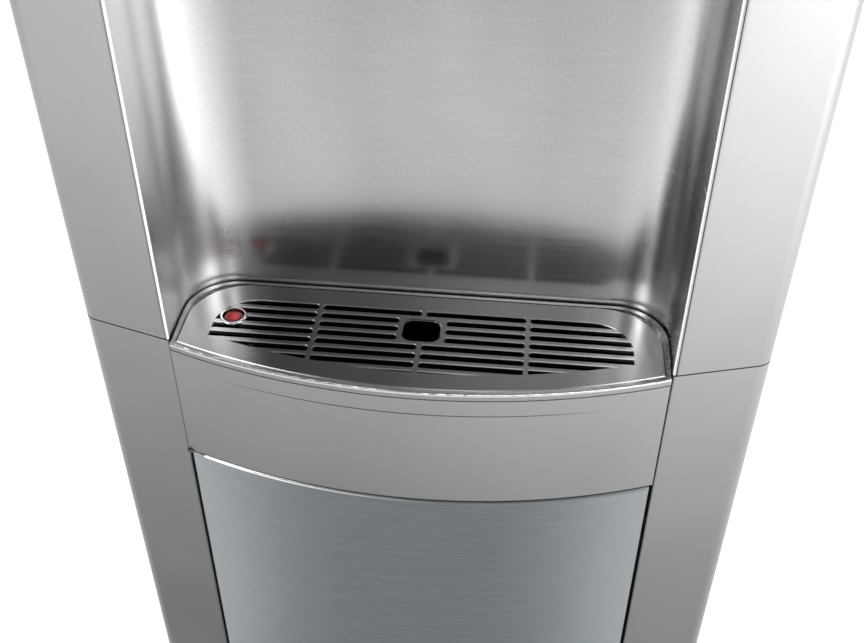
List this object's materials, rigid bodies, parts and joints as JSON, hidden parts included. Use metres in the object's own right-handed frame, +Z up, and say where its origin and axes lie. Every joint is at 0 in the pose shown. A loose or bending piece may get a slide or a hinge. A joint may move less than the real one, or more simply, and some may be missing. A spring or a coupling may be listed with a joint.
{
  "type": "countertop water dispenser",
  "caption": "Tall countertop hot and cold water dispenser with a shallow recess, slotted drip grate, red float, curved apron and a hinged lower door over its filters.",
  "frame": {"origin": "on the counter, under the middle of the machine's bounding box", "axes": "+Z up, the front with the tray and door faces -Y, +X to the right seen from the front"},
  "size_m": [0.31, 0.36, 0.59],
  "materials": {
    "silver_shell": "fine silver lacquer, satin",
    "side_steel": "silver powder coat",
    "liner_steel": "satin formed steel",
    "grate_steel": "brushed",
    "door_steel": "fine horizontal brushing",
    "chrome": "polished",
    "red_lens": "clear red, glossy",
    "dark_plastic": "fine texture",
    "red_rocker": "glossy",
    "panel_gloss": "glossy",
    "key_plastic": "satin",
    "indicator": "clear",
    "board": "solder mask",
    "white_plastic": "satin",
    "zinc_steel": "zinc coated",
    "black_enamel": "black enamel",
    "rubber": "matt",
    "copper": "drawn copper",
    "tank_steel": "satin stainless",
    "heater": "mica band heater",
    "foam": "expanded foam",
    "magnet": "ferrite",
    "silicone": "translucent silicone"
  },
  "bodies": {
    "cabinet": {"base_pan": "zinc_steel", "feet": "rubber", "plinth": "dark_plastic", "side_panel_left": "side_steel", "side_panel_right": "side_steel", "rear_panel": "zinc_steel", "rear_screws": "zinc_steel", "top_cover": "dark_plastic", "pillar_upper_left": "silver_shell", "pillar_upper_right": "silver_shell", "pillar_lower_left": "silver_shell", "pillar_lower_right": "silver_shell", "apron": "silver_shell", "recess_liner": "liner_steel", "head_ceiling": "dark_plastic", "head_fascia": "silver_shell", "control_panel": "panel_gloss", "indicator_lights": "indicator", "control_board": "board", "nozzle_cold": "chrome", "nozzle_hot": "chrome", "valve_cold": "white_plastic", "valve_hot": "white_plastic", "hinge_brackets": "zinc_steel", "bay_liner": "white_plastic", "filter_head": "white_plastic", "compressor": "black_enamel", "compressor_grommets": "rubber", "condenser_tube": "black_enamel", "condenser_wires": "black_enamel", "wall_spacers": "dark_plastic", "filter_drier": "copper", "tank_shelf": "zinc_steel", "cold_tank": "tank_steel", "evaporator_coil": "copper", "cold_insulation": "foam", "hot_tank": "tank_steel", "heater_band": "heater", "hot_insulation": "foam", "drain_port": "white_plastic", "water_tubes": "silicone", "inlet_fitting": "white_plastic", "power_inlet": "dark_plastic", "switch_housings": "dark_plastic", "power_board": "board"},
    "door": {"door_skin": "door_steel", "door_frame": "dark_plastic", "door_magnet": "magnet"},
    "basin": {"drip_basin": "grate_steel"},
    "grate": {"grate": "grate_steel", "float_ring": "chrome"},
    "float": {"float_indicator": "red_lens"},
    "button_cold": {"button_cold": "key_plastic"},
    "button_lock": {"button_lock": "key_plastic"},
    "button_hot": {"button_hot": "key_plastic"},
    "rocker_cold": {"rocker_cold": "dark_plastic"},
    "rocker_hot": {"rocker_hot": "red_rocker"},
    "drain_cap": {"drain_cap": "dark_plastic"},
    "cartridge_left": {"filter_cartridge_left": "white_plastic"},
    "cartridge_right": {"filter_cartridge_right": "white_plastic"}
  },
  "joints": [
    {"name": "door_hinge", "type": "hinge", "parent": "cabinet", "child": "door", "pos_m": [-0.106, -0.15569, 0.124], "axis": [0, 0, -1], "range_deg": [0, 85]},
    {"name": "basin_lift", "type": "slide", "parent": "cabinet", "child": "basin", "axis": [0, 0, 1], "range_m": [0, 0.06]},
    {"name": "grate_lift", "type": "slide", "parent": "basin", "child": "grate", "axis": [0, 0, 1], "range_m": [0, 0.06]},
    {"name": "float_rise", "type": "slide", "parent": "grate", "child": "float", "axis": [0, 0, 1], "range_m": [0, 0.005]},
    {"name": "button_cold_press", "type": "slide", "parent": "cabinet", "child": "button_cold", "axis": [0, 1, 0], "range_m": [0, 0.0016], "stiffness_N_per_m": 400},
    {"name": "button_lock_press", "type": "slide", "parent": "cabinet", "child": "button_lock", "axis": [0, 1, 0], "range_m": [0, 0.0016], "stiffness_N_per_m": 400},
    {"name": "button_hot_press", "type": "slide", "parent": "cabinet", "child": "button_hot", "axis": [0, 1, 0], "range_m": [0, 0.0016], "stiffness_N_per_m": 400},
    {"name": "rocker_cold_tip", "type": "hinge", "parent": "cabinet", "child": "rocker_cold", "pos_m": [-0.072, 0.15, 0.06], "axis": [-1, 0, 0], "range_deg": [0, 14]},
    {"name": "rocker_hot_tip", "type": "hinge", "parent": "cabinet", "child": "rocker_hot", "pos_m": [-0.048, 0.15, 0.06], "axis": [-1, 0, 0], "range_deg": [0, 14]},
    {"name": "drain_cap_pull", "type": "slide", "parent": "cabinet", "child": "drain_cap", "axis": [0, 1, 0], "range_m": [0, 0.02]},
    {"name": "cartridge_left_twist", "type": "hinge", "parent": "cabinet", "child": "cartridge_left", "pos_m": [-0.048, -0.1011, 0.13], "axis": [0, 0, 1], "range_deg": [0, 60]},
    {"name": "cartridge_right_twist", "type": "hinge", "parent": "cabinet", "child": "cartridge_right", "pos_m": [0.048, -0.1011, 0.13], "axis": [0, 0, 1], "range_deg": [0, 60]}
  ]
}
